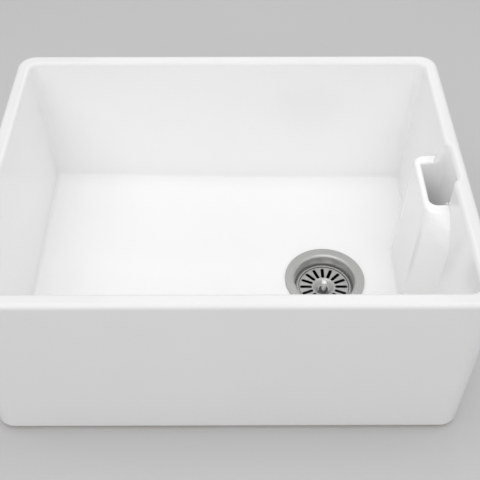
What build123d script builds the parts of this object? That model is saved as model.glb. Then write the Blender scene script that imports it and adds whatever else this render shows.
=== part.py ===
"""Farmhouse apron front sink: a glazed fireclay basin with an integral weir
overflow, and the basket strainer waste that is clamped through its outlet.

Millimetres. +X is the user's right, +Y is the wall side, +Z is up, and the apron
faces -Y. The origin is the centre of the basin's footprint, level with the foot
that it stands on.
"""
from build123d import *
from math import atan, degrees
import os

# ---- basin: outer block and rim -------------------------------------------------
basin_width = 595.0
basin_depth = 455.0
basin_height = 255.0
rim_width = 19.5              # rim, from the outer face to the bowl wall at the top
outer_corner_radius = 25.0
rim_outer_round = 6.0
rim_inner_round = 5.75
base_round = 9.5

# ---- basin: bowl ----------------------------------------------------------------
floor_corner_radius = 5.8     # bowl's upright corners at the floor
wall_draft = 0.030            # bowl walls lean in by this much per mm of depth
seat_height = 32.5            # level seat round the outlet, above the foot
seat_margin = 2.5             # seat outside the strainer flange
floor_fall = 0.040            # floor rises by this much per mm away from the seat
floor_fillet = 4.5
outlet_x = 139.0
outlet_y = -6.0
outlet_bore_radius = 45.0

# ---- basin: weir overflow in the right wall -------------------------------------
weir_drop = 37.5              # lip below the rim
weir_reach = 30.6             # boss out of the bowl wall at the lip
weir_foot_reach = 29.5        # and at the foot of the wall
weir_half_length = 53.0
weir_corner_radius = 15.0
weir_face_half_length = 50.0  # flat face under the lip
weir_flare_drop = 42.0        # the boss spreads along the wall in a curve below the lip
weir_flare_half_length = 86.0
weir_flare_steps = 6
weir_foot_half_length = 88.0
lip_thickness = 8.1
lip_end_thickness = 15.0
lip_round = 3.0
pocket_recess = 6.0           # pocket cut into the wall behind the lip
pocket_flare = 4.0            # rear wall of the pocket slants back by this
pocket_wall_radius = 16.0
pocket_front_radius = 10.0
pocket_rear_radius = 3.0
notch_blend_radius = 8.0      # where the pocket's scoop runs out into the bowl wall
funnel_height = 30.0          # from the pocket down to the shaft
shaft_height = 68.0
shaft_depth = 26.0            # overflow shaft inside the boss, across the wall
duct_width = 44.0
duct_height = 12.0            # passage under the floor
duct_floor = 12.0             # passage above the foot

# ---- basin: underside -----------------------------------------------------------
foot_width = 38.0
recess_depth = 14.0
recess_corner_radius = 22.0
outlet_boss_margin = 11.0     # outlet boss outside the base gasket
duct_rib_wall = 13.0
boss_setback = 3.0            # outlet boss face above the foot

# ---- waste: strainer body and its seal ------------------------------------------
sheet = 1.0                   # pressed stainless sheet
bore_clearance = 0.5          # strainer body inside the basin's outlet bore
flange_seal_thickness = 1.0
flange_seal_margin = 1.5      # seal inside the flange's edge
flange_width = 13.5
mouth_bend = 4.0
cup_taper = 2.0               # mouth wider than the basket shoulder
shoulder_depth = 23.0         # basket shoulder below the flange
shoulder_width = 4.0
throat_taper = 1.0
cup_bend = 1.5
cup_floor_bend = 3.0
drain_hole_radius = 5.0
drain_hole_circle = 13.5
drain_hole_count = 6

# ---- waste: clamp under the basin -----------------------------------------------
base_gasket_thickness = 3.0
base_gasket_width = 10.0
gasket_margin = 2.0           # gasket outside the basin's outlet bore
screw_radius = 3.0            # M6
screw_hole_radius = 3.3
screw_length = 20.0
screw_head_radius = 6.0
screw_head_height = 2.6
screw_washer_radius = 7.0
screw_washer_thickness = 0.8
hex_key = 4.0                 # socket in the screw head, across the flats
hex_key_depth = 1.8
insert_wall = 2.0
insert_length = 10.0
body_wall = 3.0
body_flange_thickness = 4.0
chamber_inset = 1.0           # chamber inside the basin's outlet bore
chamber_gap = 5.0             # straight chamber goes on below the cup
cone_depth = 20.0
hub_wall = 3.0                # round the insert
hub_length = 16.0
hub_gap = 1.0                 # hub top below the strainer body
rib_thickness = 3.0
rib_count = 4
outlet_thread_radius = 23.9   # 1 1/2 inch pipe thread, crest
outlet_wall = 2.7             # under the thread
outlet_length = 24.0
thread_pitch = 2.309
thread_depth = 1.2
thread_crest = 0.8
thread_root = 0.5
thread_lead_in = 1.5          # plain end each side of the thread

# ---- basket ---------------------------------------------------------------------
basket_sheet = 0.8
basket_gap = 2.0              # basket inside the cup at the shoulder
basket_rim_width = 3.2
basket_rim_height = 6.0
basket_rim_bend = 0.95
basket_plate_drop = 1.8       # plate below the top of its rim
basket_step_taper = 0.3
dish_floor_margin = 1.3       # dish floor outside the head of the bush
dish_slope = 7.0              # width of the dish's conical side
dish_depth = 6.5
dish_bend = 5.0
dish_floor_bend = 3.0
slot_count = 16
slot_inner_margin = 1.9       # slots start outside the dish
slot_outer_margin = 5.1       # and end inside the rim
slot_width = 4.7

# ---- stem bush, held in the dish ------------------------------------------------
bush_head_width = 1.7
bush_head_thickness = 1.2
bush_wall = 0.65              # outside the O-ring groove
bush_length = 7.2             # under its head
bush_nut_width = 2.0          # nut outside the bush, to its flats
bush_nut_thickness = 3.0
o_ring_section = 1.3
o_ring_rise = 1.5             # groove above the foot of the bush

# ---- stopper and its stem -------------------------------------------------------
stem_radius = 3.0
stem_clearance = 0.05         # running fit of the stem in its bush
stud_step = 1.5               # stud that the knob screws on is thinner by this
stud_length = 5.0
stem_shoulder = 1.0           # threaded lower end is thinner by this
knob_radius = 4.2
knob_neck_radius = 2.4
knob_height = 9.5
knob_head_drop = 3.0          # widest part of the knob below its top
knob_neck_drop = 5.7
knob_foot_height = 1.0
knob_gap = 0.1                # knob above the bush when the stopper is shut
stopper_gap = 0.5             # stopper washer below the bush when open
stopper_travel = 7.5          # from straining to shut
stopper_seat_gap = 0.1        # lip above the cup floor when shut
stopper_cover = 6.5           # stopper outside the drain holes
stopper_web = 3.0
stopper_lip_width = 3.5
stopper_lip_taper = 1.0
stopper_washer_radius = 9.0
stopper_washer_thickness = 1.0
stem_nut_width = 1.5          # nut outside the stem's end, to its flats
stem_nut_thickness = 3.0
shut_gap = 0.6                # stem nut above the clamp screw when shut

# ---- radii worked out from the sizes above --------------------------------------
mouth_radius = outlet_bore_radius - bore_clearance - sheet
flange_radius = mouth_radius + flange_width
seat_radius = flange_radius + seat_margin
shoulder_radius = mouth_radius - cup_taper
throat_radius = shoulder_radius - shoulder_width
gasket_inner_radius = outlet_bore_radius + gasket_margin
gasket_radius = gasket_inner_radius + base_gasket_width
chamber_radius = outlet_bore_radius - chamber_inset
insert_radius = screw_radius + insert_wall
thread_root_radius = outlet_thread_radius - thread_depth
waterway_radius = thread_root_radius - outlet_wall
basket_radius = shoulder_radius - basket_gap
bush_bore = stem_radius + stem_clearance
bush_radius = bush_bore + o_ring_section + bush_wall
bush_head_radius = bush_radius + bush_head_width
dish_floor_radius = bush_head_radius + dish_floor_margin
dish_radius = dish_floor_radius + dish_slope
stud_radius = stem_radius - stud_step
stem_end_radius = stem_radius - stem_shoulder
stopper_radius = drain_hole_circle + drain_hole_radius + stopper_cover

# ---- levels worked out from the sizes above -------------------------------------
lip_z = basin_height - weir_drop
flare_z = lip_z - weir_flare_drop
flange_foot_z = seat_height + flange_seal_thickness
flange_top_z = flange_foot_z + sheet
shoulder_z = flange_top_z - shoulder_depth
rim_top_z = shoulder_z + basket_rim_height
plate_z = rim_top_z - basket_plate_drop
dish_floor_z = plate_z - dish_depth
bush_top_z = dish_floor_z + bush_head_thickness
bush_foot_z = dish_floor_z - bush_length
stem_top_z = bush_top_z + stopper_travel + knob_gap
stopper_top_z = bush_foot_z - stopper_gap
web_top_z = stopper_top_z - stopper_washer_thickness
web_foot_z = web_top_z - stopper_web
stem_nut_top_z = web_foot_z - stopper_washer_thickness
stem_foot_z = stem_nut_top_z - stem_nut_thickness
screw_top_z = stem_foot_z - stopper_travel - shut_gap
screw_head_z = screw_top_z - screw_head_height
cup_floor_z = screw_head_z - screw_washer_thickness
cup_foot_z = cup_floor_z - sheet
hub_top_z = cup_foot_z - hub_gap
hub_foot_z = hub_top_z - hub_length
body_top_z = boss_setback - base_gasket_thickness
chamber_foot_z = cup_foot_z - chamber_gap
cone_foot_z = chamber_foot_z - cone_depth
outlet_end_z = cone_foot_z - outlet_length

bowl_x = basin_width / 2 - rim_width
bowl_y = basin_depth / 2 - rim_width
pocket_x = bowl_x + pocket_recess
outlet = Pos(outlet_x, outlet_y, 0)


def spun(*points):
    """A solid turned about the outlet's axis from (radius, height) corners."""
    profile = make_face(Polyline(*points, close=True))
    return revolve(Plane.XZ * profile, Axis.Z)


def ring(outer, inner, low, high):
    """A flat washer between two levels."""
    return spun((inner, low), (outer, low), (outer, high), (inner, high))


def pressing(thickness, points, bends):
    """Sheet metal turned about the axis: points give the line of its seen side from
    the outer edge inwards, and bends the radius at each corner between."""
    line = FilletPolyline(*points, radius=bends)
    profile = make_face(offset(line, amount=thickness, side=Side.LEFT, closed=True))
    return revolve(Plane.XZ * profile, Axis.Z)


def hexagon(flats, low, high):
    """A hexagonal bar between two levels, across the flats given."""
    plan = RegularPolygon(flats / 2, 6, major_radius=False)
    return extrude(Plane.XY.offset(low) * plan, high - low)


# ---- basin ----------------------------------------------------------------------
def wall_x(z):
    """Bowl wall's distance from the centre at a height."""
    return bowl_x - wall_draft * (basin_height - z)


def bowl_space():
    """The drafted bowl down to its floor, a very flat cone that falls to the outlet."""
    far = basin_width + basin_depth
    depth = basin_height - seat_height / 2
    corner = floor_corner_radius + wall_draft * depth
    opening = Plane.XY.offset(basin_height) * RectangleRounded(2 * bowl_x, 2 * bowl_y, corner)
    walls = extrude(opening, -depth, taper=degrees(atan(wall_draft)))
    high = seat_height + floor_fall * (far - seat_radius)
    floor = spun((0, -far), (0, seat_height), (seat_radius, seat_height), (far, high), (far, -far))
    return walls - outlet * floor


def boss_outline(z, reach, front_half, wall_half):
    """Weir boss across the wall: its face, its two flanks and a tail in the wall."""
    wall = wall_x(z)
    tail = basin_width / 2 - rim_width / 3
    plan = make_face(Polyline(
        (tail, -wall_half), (wall, -wall_half), (wall - reach, -front_half),
        (wall - reach, front_half), (wall, wall_half), (tail, wall_half), close=True))
    corners = plan.vertices().group_by(Axis.X)[0]
    return Plane.XY.offset(z) * fillet(corners, weir_corner_radius)


def weir_boss():
    """The boss that carries the overflow: square at the lip, curving wider below it."""
    foot = boss_outline(seat_height / 2, weir_foot_reach, weir_face_half_length, weir_foot_half_length)
    outlines = [foot]
    for i in range(weir_flare_steps + 1):
        climb = i / weir_flare_steps
        face_half = weir_face_half_length + climb**2 * (weir_half_length - weir_face_half_length)
        wall_half = weir_flare_half_length + climb**2 * (weir_half_length - weir_flare_half_length)
        outlines.append(boss_outline(flare_z + climb * weir_flare_drop, weir_reach, face_half, wall_half))
    return loft(outlines, ruled=True)


def pocket_outline():
    """The weir pocket in plan, behind the lip and scooped into the wall."""
    left = wall_x(lip_z) - weir_reach + lip_thickness
    half = weir_half_length - lip_end_thickness
    plan = make_face(Polyline(
        (left, -half), (pocket_x, -half), (pocket_x, half + pocket_flare), (left, half), close=True))
    plan = fillet(plan.vertices().group_by(Axis.X)[-1], pocket_wall_radius)
    plan = fillet(plan.vertices().group_by(Axis.X)[0].sort_by(Axis.Y)[0], pocket_front_radius)
    return fillet(plan.vertices().group_by(Axis.X)[0].sort_by(Axis.Y)[-1], pocket_rear_radius)


def bowl():
    """The bowl's space with the boss standing in it, the pocket's scoop up the wall
    behind the lip, and its floor edges rounded."""
    scoop = extrude(Plane.XY.offset(lip_z) * pocket_outline(), weir_drop)
    space = bowl_space() - weir_boss() + scoop
    upright = [e for e in space.edges() if abs((e @ 0).Z - (e @ 1).Z) > 0.9 * weir_drop]
    ends = [e for e in upright if abs((e @ 0.5).X - wall_x((e @ 0.5).Z)) < 1
            and abs((e @ 0.5).Y) < weir_half_length]
    space = fillet(ends, notch_blend_radius)
    floor_limit = seat_height + floor_fall * (basin_width + basin_depth)
    low = [e for e in space.edges() if max((e @ 0).Z, (e @ 0.5).Z, (e @ 1).Z) < floor_limit]
    return fillet(low, min(floor_fillet, 0.8 * floor_corner_radius))


def overflow_space():
    """Pocket below the lip, funnel, shaft down the boss and passage under the floor."""
    funnel_foot = duct_floor + shaft_height
    pocket_foot = funnel_foot + funnel_height
    pocket_plan = Plane.XY.offset(pocket_foot) * pocket_outline()
    shaft_plan = Pos(pocket_x - shaft_depth / 2, outlet_y, duct_floor)
    shaft_plan = shaft_plan * RectangleRounded(shaft_depth, duct_width, pocket_rear_radius)
    pocket = extrude(pocket_plan, lip_z - pocket_foot)
    funnel = loft([Pos(0, 0, shaft_height) * shaft_plan, pocket_plan])
    shaft = extrude(shaft_plan, shaft_height)
    run = pocket_x - outlet_x
    passage = Box(run, duct_width, duct_height, align=(Align.MIN, Align.CENTER, Align.MIN))
    return pocket + funnel + shaft + Pos(outlet_x, outlet_y, duct_floor) * passage


def underside_recess():
    """Hollow under the floor, less the outlet boss and the rib round the passage."""
    plan = RectangleRounded(basin_width - 2 * foot_width, basin_depth - 2 * foot_width,
                            recess_corner_radius)
    boss = outlet * Cylinder(gasket_radius + outlet_boss_margin, 2 * recess_depth)
    run = basin_width / 2 - outlet_x
    rib = Box(run, duct_width + 2 * duct_rib_wall, 2 * recess_depth,
              align=(Align.MIN, Align.CENTER, Align.CENTER))
    return extrude(plan, recess_depth) - (boss + outlet * rib) + extrude(plan, boss_setback)


def basin():
    """One fireclay casting: block, bowl, weir, overflow passage, outlet and foot."""
    block = extrude(RectangleRounded(basin_width, basin_depth, outer_corner_radius), basin_height)
    block = fillet(block.edges().group_by(Axis.Z)[0], base_round)
    block = fillet(block.edges().group_by(Axis.Z)[-1], rim_outer_round)
    body = block - bowl()
    inner_rim = [e for e in body.edges().group_by(Axis.Z)[-1]
                 if abs(e.center().X) < pocket_x + 1 and abs(e.center().Y) < bowl_y + 1]
    body = fillet(inner_rim, rim_inner_round)
    body = body - overflow_space()
    level = [e for e in body.edges() if max(abs((e @ 0).Z - lip_z), abs((e @ 1).Z - lip_z)) < 0.01]
    lip = [e for e in level if (e @ 0.5).X < wall_x(lip_z) - 0.1]
    body = fillet(lip, lip_round)
    body = body - outlet * Cylinder(outlet_bore_radius, 4 * seat_height)
    return body - underside_recess()


# ---- waste, clamped through the outlet -------------------------------------------
def flange_seal():
    """Flat rubber ring between the basin's seat and the strainer flange."""
    return ring(flange_radius - flange_seal_margin, mouth_radius + mouth_bend, seat_height,
                flange_foot_z)


def strainer_body():
    """Pressed stainless cup: flange, cone, basket shoulder, throat and pierced floor."""
    line = ((flange_radius, flange_top_z), (mouth_radius, flange_top_z),
            (shoulder_radius, shoulder_z), (throat_radius, shoulder_z),
            (throat_radius - throat_taper, cup_floor_z), (screw_hole_radius, cup_floor_z))
    cup = pressing(sheet, line, (mouth_bend, cup_bend, cup_bend, cup_floor_bend))
    drain = Pos(0, 0, cup_floor_z) * Cylinder(drain_hole_radius, 4 * sheet)
    return cup - PolarLocations(drain_hole_circle, drain_hole_count) * drain


def screw_washer():
    """Plain washer under the clamp screw's head."""
    return ring(screw_washer_radius, screw_hole_radius, cup_floor_z, screw_head_z)


def clamp_screw():
    """M6 screw with a chamfered head and a hexagon socket."""
    bevel = screw_head_height / 2
    foot = screw_head_z - screw_length
    screw = spun((0, foot), (screw_radius, foot), (screw_radius, screw_head_z),
                 (screw_head_radius, screw_head_z), (screw_head_radius, screw_top_z - bevel),
                 (screw_head_radius - bevel, screw_top_z), (0, screw_top_z))
    return screw - hexagon(hex_key, screw_top_z - hex_key_depth, screw_top_z + hex_key_depth)


def threaded_insert():
    """Brass insert in the lower body's hub that the clamp screw pulls on."""
    return ring(insert_radius, screw_radius, hub_top_z - insert_length, hub_top_z)


def base_gasket():
    """Rubber ring between the basin's outlet boss and the lower body."""
    return ring(gasket_radius, gasket_inner_radius, body_top_z, boss_setback)


def thread_ridge(low):
    """Section of one ridge of the outlet's thread, from its lower root upwards."""
    flank = (thread_pitch - thread_crest - thread_root) / 2
    return [(thread_root_radius, low), (outlet_thread_radius, low + flank),
            (outlet_thread_radius, low + flank + thread_crest),
            (thread_root_radius, low + 2 * flank + thread_crest)]


def lower_body():
    """Moulded chamber, cone and threaded outlet, with a ribbed hub for the screw."""
    side = chamber_radius + body_wall
    flange_foot = body_top_z - body_flange_thickness
    ridge_count = int((outlet_length - 2 * thread_lead_in) / thread_pitch)
    outer = [(0, outlet_end_z), (thread_root_radius, outlet_end_z)]
    for i in range(ridge_count):
        outer += thread_ridge(outlet_end_z + thread_lead_in + i * thread_pitch)
    outer += [(thread_root_radius, cone_foot_z), (side, chamber_foot_z), (side, flange_foot),
              (gasket_radius, flange_foot), (gasket_radius, body_top_z), (0, body_top_z)]
    hollow = spun((0, outlet_end_z), (waterway_radius, outlet_end_z), (waterway_radius, cone_foot_z),
                  (chamber_radius, chamber_foot_z), (chamber_radius, body_top_z), (0, body_top_z))
    rib = Pos(0, 0, hub_foot_z) * Box(chamber_radius, rib_thickness, hub_length - insert_length / 2,
                                      align=(Align.MIN, Align.CENTER, Align.MIN))
    ribs = PolarLocations(0, rib_count) * rib
    hub = ring(insert_radius + hub_wall, 0, hub_foot_z, hub_top_z)
    body = spun(*outer) - hollow + ((hub + ribs) & hollow)
    body = body - ring(insert_radius, 0, hub_top_z - insert_length, hub_top_z)
    return body - ring(screw_radius, 0, hub_foot_z, hub_top_z)


# ---- basket, lifts out of the strainer body --------------------------------------
def basket():
    """Pressed stainless basket: rolled rim, slotted plate and a dish for the bush."""
    crown = basket_radius - basket_rim_width
    line = ((basket_radius, shoulder_z), (basket_radius, rim_top_z), (crown, rim_top_z),
            (crown - basket_step_taper, plate_z), (dish_radius, plate_z),
            (dish_floor_radius, dish_floor_z), (bush_radius, dish_floor_z))
    bends = (basket_rim_bend, basket_rim_bend, basket_rim_bend, dish_bend, dish_floor_bend)
    plate = pressing(basket_sheet, line, bends)
    inner = dish_radius + slot_inner_margin
    outer = basket_radius - slot_outer_margin
    slot = extrude(SlotOverall(outer - inner, slot_width), 2 * basket_sheet, both=True)
    slots = PolarLocations((outer + inner) / 2, slot_count) * (Pos(0, 0, plate_z) * slot)
    return plate - slots


def stem_bush():
    """Bush with a head in the dish, a threaded shank and a groove for the O-ring."""
    bush = spun((bush_bore, bush_foot_z), (bush_radius, bush_foot_z), (bush_radius, dish_floor_z),
                (bush_head_radius, dish_floor_z), (bush_head_radius, bush_top_z),
                (bush_bore, bush_top_z))
    groove = bush_foot_z + o_ring_rise
    return bush - ring(bush_bore + o_ring_section, 0, groove, groove + o_ring_section)


def bush_nut():
    """Hexagon nut that holds the bush under the dish."""
    top = dish_floor_z - basket_sheet
    low = top - bush_nut_thickness
    return hexagon(2 * (bush_radius + bush_nut_width), low, top) - ring(bush_radius, 0, low, top)


def stem_o_ring():
    """O-ring in the bush that grips the stem and holds it where it is left."""
    height = bush_foot_z + o_ring_rise + o_ring_section / 2
    return Pos(0, 0, height) * Torus(bush_bore + o_ring_section / 2, o_ring_section / 2)


# ---- stopper, slides on its stem through the bush --------------------------------
def stem():
    """Turned stem: stud for the knob, plain shaft, shoulder and threaded end."""
    stud_top = stem_top_z + stud_length
    return spun((0, stem_foot_z), (stem_end_radius, stem_foot_z), (stem_end_radius, stopper_top_z),
                (stem_radius, stopper_top_z), (stem_radius, stem_top_z), (stud_radius, stem_top_z),
                (stud_radius, stud_top), (0, stud_top))


def knob():
    """Turned finger knob: plain foot, waist and mushroom head."""
    top = stem_top_z + knob_height
    neck = (knob_neck_radius, top - knob_neck_drop)
    brim = (knob_radius, top - knob_head_drop)
    collar = (stem_radius, stem_top_z + knob_foot_height)
    foot = Polyline((0, top), (0, stem_top_z), (stem_radius, stem_top_z), collar)
    waist = Spline(collar, neck, brim, tangents=((0, 1), (0, 1)))
    crown = Spline(brim, (0, top), tangents=((0, 1), (-1, 0)))
    blank = revolve(Plane.XZ * make_face(foot + waist + crown), Axis.Z)
    return blank - ring(stud_radius, 0, stem_top_z, stem_top_z + stud_length)


def stopper_disc():
    """Rubber stopper: a web clamped on the stem and a lip that closes on the cup floor."""
    lip_foot = cup_floor_z + stopper_travel + stopper_seat_gap
    lip_inner = stopper_radius - stopper_lip_width
    return spun((stem_end_radius, web_foot_z), (lip_inner - stopper_lip_taper, web_foot_z),
                (lip_inner, lip_foot), (stopper_radius, lip_foot),
                (stopper_radius - stopper_lip_taper, web_top_z), (stem_end_radius, web_top_z))


def stopper_washer():
    """Washer between the stem's shoulder and the rubber."""
    return ring(stopper_washer_radius, stem_end_radius, web_top_z, stopper_top_z)


def backing_washer():
    """Washer between the rubber and its nut."""
    return ring(stopper_washer_radius, stem_end_radius, stem_nut_top_z, web_foot_z)


def stem_nut():
    """Nut that clamps the stopper on the stem."""
    nut = hexagon(2 * (stem_end_radius + stem_nut_width), stem_foot_z, stem_nut_top_z)
    return nut - ring(stem_end_radius, 0, stem_foot_z, stem_nut_top_z)


os.makedirs("parts", exist_ok=True)
export_step(basin(), "parts/basin.step")
for piece in (flange_seal, strainer_body, screw_washer, clamp_screw, threaded_insert, base_gasket,
              lower_body, basket, stem_bush, bush_nut, stem_o_ring, stem, knob, stopper_disc,
              stopper_washer, backing_washer, stem_nut):
    export_step(outlet * piece(), f"parts/{piece.__name__}.step")
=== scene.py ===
"""Farmhouse apron front sink with its basket strainer waste.

Metres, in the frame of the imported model: +X right, +Y to the wall, +Z up, with the
origin at the centre of the basin's footprint.
"""
import math

import bpy
import numpy as np
from mathutils import Matrix

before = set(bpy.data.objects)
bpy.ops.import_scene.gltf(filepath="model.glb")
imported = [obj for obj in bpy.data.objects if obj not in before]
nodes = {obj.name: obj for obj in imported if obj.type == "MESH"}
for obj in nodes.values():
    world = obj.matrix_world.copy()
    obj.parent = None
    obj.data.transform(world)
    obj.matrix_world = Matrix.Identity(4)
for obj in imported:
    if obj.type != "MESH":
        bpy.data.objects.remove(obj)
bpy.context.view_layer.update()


# ---- Basin -----------------------------------------------------------------------
# One casting of fireclay, dried, sprayed with a white glaze and fired. The glaze rounds the
# edges and stops short of the foot, where the bare buff clay shows. Inside the bowl it is
# painted whiter: painted light that brightens the bowl's walls and floor.
class Wire:
    """One output in a material. Arithmetic on it adds Math nodes, and add() adds any
    node, with its settings and the values or wires of its sockets."""

    def __init__(self, tree, socket):
        self.tree = tree
        self.socket = socket

    def add(self, kind, settings, sockets, output=0):
        node = self.tree.nodes.new("ShaderNode" + kind)
        for name, value in settings.items():
            setattr(node, name, value)
        for name, value in sockets.items():
            if isinstance(value, Wire):
                self.tree.links.new(value.socket, node.inputs[name])
            else:
                node.inputs[name].default_value = value
        return Wire(self.tree, node.outputs[output])

    def math(self, operation, *values):
        return self.add("Math", {"operation": operation}, dict(enumerate(values)))

    def __add__(self, other):
        return self.math("ADD", self, other)

    def __sub__(self, other):
        return self.math("SUBTRACT", self, other)

    def __rsub__(self, other):
        return self.math("SUBTRACT", other, self)

    def __mul__(self, other):
        return self.math("MULTIPLY", self, other)

    def __truediv__(self, other):
        return self.math("DIVIDE", self, other)

    __radd__ = __add__

    def size(self):
        """This without its sign."""
        return self.math("ABSOLUTE", self)

    def step(self, low, high):
        """0 below low, 1 above high, smooth between."""
        return self.add("MapRange", {"interpolation_type": "SMOOTHSTEP"},
                        {"Value": self, "From Min": low, "From Max": high})

    def part(self, name):
        """One coordinate of a vector."""
        return self.add("SeparateXYZ", {}, {0: self}, "XYZ".index(name))

    def noise(self, scale, detail=3, roughness=0.5):
        """Cloudy noise, 0 to 1, about 1/scale metres across."""
        return self.add("TexNoise", {}, {"Vector": self, "Scale": scale, "Detail": detail,
                                         "Roughness": roughness})

    def tint(self, first, second):
        """A colour that goes from first to second as this goes from 0 to 1."""
        return self.add("Mix", {"data_type": "RGBA"}, {0: self, 6: first, 7: second}, 2)

    def bump(self, depth, strength=1.0, soft_edge=0.0):
        """A normal raised by this, at most depth metres, over edges worn to a radius."""
        sockets = {"Height": self, "Distance": depth, "Strength": strength}
        if soft_edge:
            sockets["Normal"] = self.add("Bevel", {"samples": 8}, {"Radius": soft_edge})
        return self.add("Bump", {}, sockets)


def material(name, **constants):
    """A material, its shader's sockets and the place on the object in metres. The
    constants are set on the shader's own sockets, by name with _ for a space."""
    made = bpy.data.materials.new(name)
    made.use_nodes = True
    tree = made.node_tree
    shader = tree.nodes["Principled BSDF"]
    for key, value in constants.items():
        shader.inputs[key.replace("_", " ")].default_value = value
    place = Wire(tree, None).add("TexCoord", {}, {}, "Object")
    return made, shader, place


def feed(shader, **wires):
    """Links wires to the shader's sockets, by name with _ for a space."""
    for key, wire in wires.items():
        wire.tree.links.new(wire.socket, shader.inputs[key.replace("_", " ")])


def dress(finish, *names):
    """Gives CAD nodes their finish."""
    for name in names:
        mesh = nodes[name].data
        mesh.materials.clear()
        mesh.materials.append(finish)


# Painted light: the whiter glaze colour painted inside the bowl to brighten it.
bowl_painted_light_white = (0.942, 0.942, 0.940, 1)
glaze_even = (0.868, 0.868, 0.866, 1)
glaze_thin = (0.856, 0.856, 0.852, 1)
bowl_half_width = 0.287
bowl_half_depth = 0.216
bowl_top = 0.250
rim_blend = 0.004
glaze_speck = (0.70, 0.69, 0.66, 1)
bare_clay = (0.62, 0.55, 0.45, 1)
fired_clay = (0.50, 0.42, 0.32, 1)
glaze_stop = 0.0035
glaze_stop_wander = 0.004
glaze_edge_radius = 0.003
edge_blend = 0.001
recess_half_width = 0.262
recess_half_depth = 0.192
recess_ceiling = 0.0155

white_glaze, shader, place = material("white_glaze", Coat_Roughness=0.04, IOR=1.52,
                                      Specular_IOR_Level=0.36)
drift = place.noise(6, 2)
ripple = place.noise(45, 2)
speckle = place.noise(900, 2).step(0.76, 0.82)
wander = place.noise(60, 3) * glaze_stop_wander - glaze_stop_wander / 2
above_foot = place.part("Z") + wander
beside_recess = (place.part("X").size().step(recess_half_width, recess_half_width + edge_blend)
                 + place.part("Y").size().step(recess_half_depth, recess_half_depth + edge_blend)
                 + place.part("Z").step(recess_ceiling, recess_ceiling + edge_blend)).step(0.4, 0.6)
glazed = above_foot.step(glaze_stop - 0.0006, glaze_stop + 0.0006) * beside_recess
# Painted light: inside the bowl the glaze is painted whiter than outside, to brighten the bowl.
outside_bowl_painted_light = (place.part("X").size().step(bowl_half_width - edge_blend, bowl_half_width + edge_blend)
               + place.part("Y").size().step(bowl_half_depth - edge_blend, bowl_half_depth + edge_blend)
               + place.part("Z").step(bowl_top - rim_blend, bowl_top + rim_blend)).step(0, 1)
glaze_and_bowl_painted_light = outside_bowl_painted_light.tint(bowl_painted_light_white, drift.step(0.3, 0.7).tint(glaze_even, glaze_thin))
clay_colour = place.noise(300, 5, 0.7).tint(bare_clay, fired_clay)
feed(shader,
     Base_Color=glazed.tint(clay_colour, (speckle * 0.12).tint(glaze_and_bowl_painted_light, glaze_speck)),
     Roughness=0.85 - glazed * (0.73 - drift * 0.04),
     Coat_Weight=glazed * 0.15,
     Normal=(ripple * glazed + (1 - glazed) * place.noise(1200, 4, 0.7) * 2).bump(
         0.0001, 0.35, glaze_edge_radius))
dress(white_glaze, "basin")


# ---- Strainer body and basket ------------------------------------------------------
# Pressed from stainless sheet and finished with a fine brush while they spin, so the
# scratches run round the outlet. The flange is clamped down on the glaze.
outlet = (0.139, -0.006)
flange_dark = (0.41, 0.41, 0.40, 1)
flange_light = (0.50, 0.50, 0.49, 1)
# Painted shade: the dark that stands in for shade deep in the cup and under the basket.
cup_painted_shade = (0.07, 0.07, 0.068, 1)


def turned(place):
    """Distance from the outlet's axis, and a place that changes fast outwards and
    slowly round it, which stretches a noise into rings."""
    x = place.part("X") - outlet[0]
    y = place.part("Y") - outlet[1]
    squared = x * x + y * y
    radius = squared.math("SQRT", squared)
    rings = radius.add("CombineXYZ", {}, {0: x / radius * 0.9, 1: y / radius * 0.9,
                                          2: radius * 700 + place.part("Z") * 500})
    return radius, rings


def brushed_stainless(name, painted_shade_below, painted_light_radius, painted_light_level, painted_shade_ring):
    """Satin steel, painted dark as shade and made dull below a height, and painted lighter
    inside a radius as painted light. A ring of painted shade lies in a step at one radius,
    or nowhere where that is 0."""
    made, shader, place = material(name, Metallic=1.0)
    radius, rings = turned(place)
    # Painted light: lighter steel inside a radius, standing in for light on the cup's cone and the
    # basket's dish.
    painted_lighter_inside = 1 - radius.step(painted_light_radius - 0.004, painted_light_radius)
    scratches = rings.noise(2.0, 4, 0.6)
    smear = place.noise(60, 3)
    # Painted shade: a thin dark ring at the basket rim's inner step.
    beside_painted_shade_ring = (radius - painted_shade_ring).size().step(0.0002, 0.0005)
    # Painted shade: dark and dull below a height, where the cup's depth falls into shade.
    free_of_painted_shade = place.part("Z").step(painted_shade_below - 0.005, painted_shade_below) * beside_painted_shade_ring
    darker = (painted_light_level - 0.06, painted_light_level - 0.06, painted_light_level - 0.07, 1)
    lighter = (painted_light_level + 0.05, painted_light_level + 0.05, painted_light_level + 0.04, 1)
    steel = painted_lighter_inside.tint(scratches.tint(flange_dark, flange_light), scratches.tint(darker, lighter))
    feed(shader,
         Base_Color=free_of_painted_shade.tint(cup_painted_shade, steel),
         Roughness=0.62 - free_of_painted_shade * (0.26 + painted_lighter_inside * 0.03 - scratches * 0.10 - smear * 0.06),
         Normal=scratches.bump(0.00003, 0.5, 0.0006))
    return made


dress(brushed_stainless("strainer_stainless", 0.013, 0.0465, 0.84, 0.0), "strainer_body")
dress(brushed_stainless("basket_stainless", 0.007, 0.0170, 0.60, 0.0364), "basket")


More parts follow.
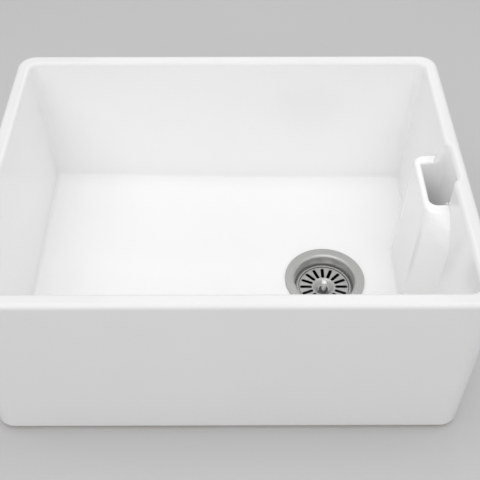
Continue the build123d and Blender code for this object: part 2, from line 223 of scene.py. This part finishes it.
# ---- Knob and stem -----------------------------------------------------------------
# Turned from stainless bar and polished. Their colour is painted near white, a painted
# reflection of the white bowl. The knob screws onto the stem's end.
knob_painted_white, shader, place = material("steel_painted_white", Metallic=0.3)
rings = turned(place)[1]
feed(shader,
     # Painted reflection: near-white colour standing in for the bowl's white reflected in the steel.
     Base_Color=rings.noise(3, 2).tint((0.90, 0.90, 0.89, 1), (0.94, 0.94, 0.93, 1)),
     Roughness=0.26 + place.noise(400, 3) * 0.10,
     Normal=rings.noise(6, 2).bump(0.00002, 0.4))
dress(knob_painted_white, "knob", "stem")


# ---- Small fixings -----------------------------------------------------------------
# Zinc plated steel screw, washers and nut, and the brass insert that is moulded into
# the hub of the lower body.
zinc, shader, place = material("zinc_plate", Metallic=1.0)
frost = place.noise(700, 4, 0.6)
feed(shader,
     Base_Color=frost.tint((0.52, 0.53, 0.54, 1), (0.66, 0.67, 0.68, 1)),
     Roughness=0.28 + frost * 0.25,
     Normal=frost.bump(0.00003, 0.5))
dress(zinc, "clamp_screw", "screw_washer", "stopper_washer", "backing_washer", "stem_nut")

brass, shader, place = material("turned_brass", Metallic=1.0)
rings = turned(place)[1]
feed(shader,
     Base_Color=place.noise(250, 3).tint((0.62, 0.44, 0.18, 1), (0.74, 0.56, 0.26, 1)),
     Roughness=0.25 + rings.noise(4, 3) * 0.2,
     Normal=rings.noise(4, 3).bump(0.00003, 0.5))
dress(brass, "threaded_insert")


# ---- Mouldings ---------------------------------------------------------------------
# White polypropylene lower body under the basin, and the dark guide bush and its nut
# in the basket. Fine spark-eroded texture from the mould.
white_plastic, shader, place = material("white_polypropylene", IOR=1.49)
grain = place.noise(2500, 3, 0.6)
feed(shader,
     Base_Color=place.noise(25, 2).tint((0.76, 0.76, 0.74, 1), (0.82, 0.82, 0.81, 1)),
     Roughness=0.42 + grain * 0.16,
     Normal=grain.bump(0.00006, 0.5))
dress(white_plastic, "lower_body")

grey_plastic, shader, place = material("grey_acetal", IOR=1.48)
grain = place.noise(2200, 3, 0.6)
feed(shader,
     Base_Color=place.noise(120, 2).tint((0.050, 0.050, 0.052, 1), (0.075, 0.075, 0.078, 1)),
     Roughness=0.38 + grain * 0.2,
     Normal=grain.bump(0.00005, 0.5))
dress(grey_plastic, "stem_bush", "bush_nut")


# ---- Seals -------------------------------------------------------------------------
# Moulded black rubber stopper and O-ring, and the grey rubber rings that seal the
# strainer flange and the lower body to the basin. Pale bloom on the black.
black_rubber, shader, place = material("black_rubber", IOR=1.5)
bloom = place.noise(90, 4, 0.6).step(0.45, 0.75)
feed(shader,
     Base_Color=bloom.tint((0.012, 0.012, 0.012, 1), (0.035, 0.035, 0.034, 1)),
     Roughness=0.55 + bloom * 0.25,
     Normal=place.noise(1800, 3, 0.6).bump(0.00005, 0.5))
dress(black_rubber, "stopper_disc", "stem_o_ring")

grey_rubber, shader, place = material("grey_rubber", IOR=1.5)
pores = place.noise(1500, 3, 0.7)
feed(shader,
     Base_Color=pores.tint((0.10, 0.10, 0.10, 1), (0.17, 0.17, 0.165, 1)),
     Roughness=0.7 + pores * 0.2,
     Normal=pores.bump(0.00008, 0.6))
dress(grey_rubber, "flange_seal", "base_gasket")


# ---- Studio ------------------------------------------------------------------------
# A plain pale floor a hair below the foot, open under the basin where the waste passes
# through it, three wide softboxes in a pale room and the camera of the photograph.
floor_hole = 0.085
floor_reach = 9.0
floor_level = -0.0004
floor_greys = ((0.60, 0.60, 0.60, 1), (0.62, 0.62, 0.62, 1))
room_brightness = 0.51


def disc_with_hole(name, centre, inner, outer, rings=24, sides=96):
    """A level ring: its radius grows by equal ratios from inner to outer."""
    radii = inner * (outer / inner) ** np.linspace(0, 1, rings)
    turns = np.linspace(0, 2 * np.pi, sides, endpoint=False)
    points = np.full((rings, sides, 3), floor_level)
    points[..., 0] = centre[0] + radii[:, None] * np.cos(turns)
    points[..., 1] = centre[1] + radii[:, None] * np.sin(turns)
    low = np.arange(rings - 1)[:, None] * sides
    here = np.arange(sides)
    after = (here + 1) % sides
    faces = np.stack([low + here, low + sides + here, low + sides + after, low + after], -1)
    mesh = bpy.data.meshes.new(name)
    mesh.from_pydata(points.reshape(-1, 3).tolist(), [], faces.reshape(-1, 4).tolist())
    made = bpy.data.objects.new(name, mesh)
    bpy.context.scene.collection.objects.link(made)
    return made


floor = disc_with_hole("studio_floor", outlet, floor_hole, floor_reach)
floor_paint, shader, place = material("floor_paint", Roughness=0.9, Specular_IOR_Level=0.1)
feed(shader, Base_Color=place.noise(2, 2).tint(*floor_greys))
floor.data.materials.append(floor_paint)

world = bpy.data.worlds.new("studio")
bpy.context.scene.world = world
world.use_nodes = True
backdrop = world.node_tree.nodes["Background"]
backdrop.inputs["Color"].default_value = (1, 1, 1, 1)
backdrop.inputs["Strength"].default_value = room_brightness


def softbox(name, watts, size, depth, at, towards):
    """A rectangular area lamp at a place, turned to shine at a point."""
    data = bpy.data.lights.new(name, "AREA")
    data.shape = "RECTANGLE"
    data.size = size
    data.size_y = depth
    data.energy = watts
    lamp = bpy.data.objects.new(name, data)
    away = np.array(at, float) - np.array(towards, float)
    away /= np.linalg.norm(away)
    side = np.cross((0, 1, 0), away)
    side /= np.linalg.norm(side)
    turn = np.eye(4)
    turn[:3, 0] = side
    turn[:3, 1] = np.cross(away, side)
    turn[:3, 2] = away
    turn[:3, 3] = at
    lamp.matrix_world = Matrix(turn.tolist())
    bpy.context.scene.collection.objects.link(lamp)


# The two softboxes in front and behind light the walls, and the long one the floor.
softbox("rear_softbox", 6, 1.4, 1.5, (0.15, 1.6, 1.85), (0.0, 0.0, 0.2))
softbox("front_softbox", 22.5, 2.6, 2.0, (-0.2, -2.0, 2.05), (0.0, 0.0, 0.15))
softbox("overhead_softbox", 12.0, 3.2, 0.9, (0.0, 0.0, 1.9), (0.0, 0.0, 0.2))
bpy.context.scene.cycles.diffuse_bounces = 10
bpy.context.scene.cycles.max_bounces = 14

photo_lens = 60.52
tilt = math.radians(47.613)
pan = math.radians(0.224)
roll = math.radians(0.027)
camera_place = (0.013994, -0.749128, 0.931260)

forward = np.array([math.sin(pan) * math.cos(tilt),
                    math.cos(pan) * math.cos(tilt),
                    -math.sin(tilt)])
level = np.array([math.cos(pan), -math.sin(pan), 0.0])
upright = np.cross(level, forward)
right = level * math.cos(roll) + upright * math.sin(roll)
up = upright * math.cos(roll) - level * math.sin(roll)
turn = np.eye(4)
turn[:3, 0] = right
turn[:3, 1] = up
turn[:3, 2] = -forward
turn[:3, 3] = camera_place
lens = bpy.data.cameras.new("photo_camera")
lens.lens = photo_lens
lens.sensor_width = 36
lens.clip_start = 0.05
lens.clip_end = 50
camera = bpy.data.objects.new("photo_camera", lens)
camera.matrix_world = Matrix(turn.tolist())
bpy.context.scene.collection.objects.link(camera)
bpy.context.scene.camera = camera
bpy.context.scene.view_settings.view_transform = "Standard"
